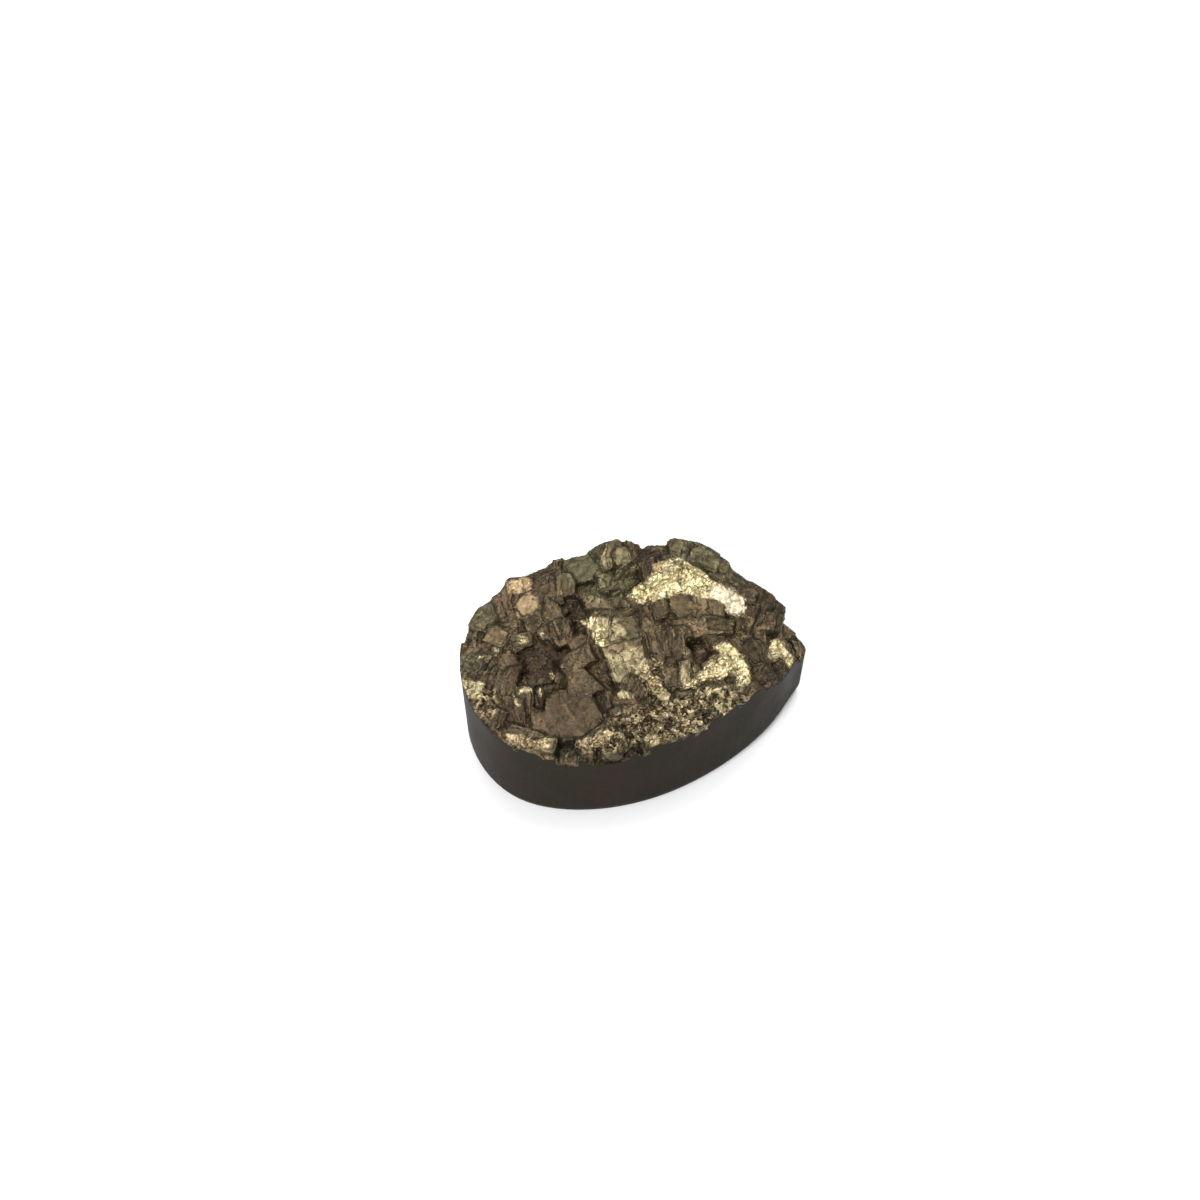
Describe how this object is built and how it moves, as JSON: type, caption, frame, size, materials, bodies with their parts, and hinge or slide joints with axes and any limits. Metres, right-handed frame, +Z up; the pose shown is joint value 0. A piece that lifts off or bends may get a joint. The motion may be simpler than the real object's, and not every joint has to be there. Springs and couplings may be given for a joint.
{
  "type": "druzy pyrite cabochon",
  "caption": "Pear-shaped pyrite stone with a flat base and smooth ground wall, topped by a natural crust of blocky crystals.",
  "frame": {"origin": "on the flat base, under the middle of the stone's box", "axes": "+X along the pear towards its pointed end, +Y towards its back, where the crystals stand highest, +Z up through the crystal crust"},
  "size_m": [0.0242, 0.0158, 0.0112],
  "materials": {
    "pyrite": "tarnished metallic crystals over a satin ground wall"
  },
  "bodies": {
    "root": {"pyrite_cabochon": "pyrite"}
  },
  "joints": []
}
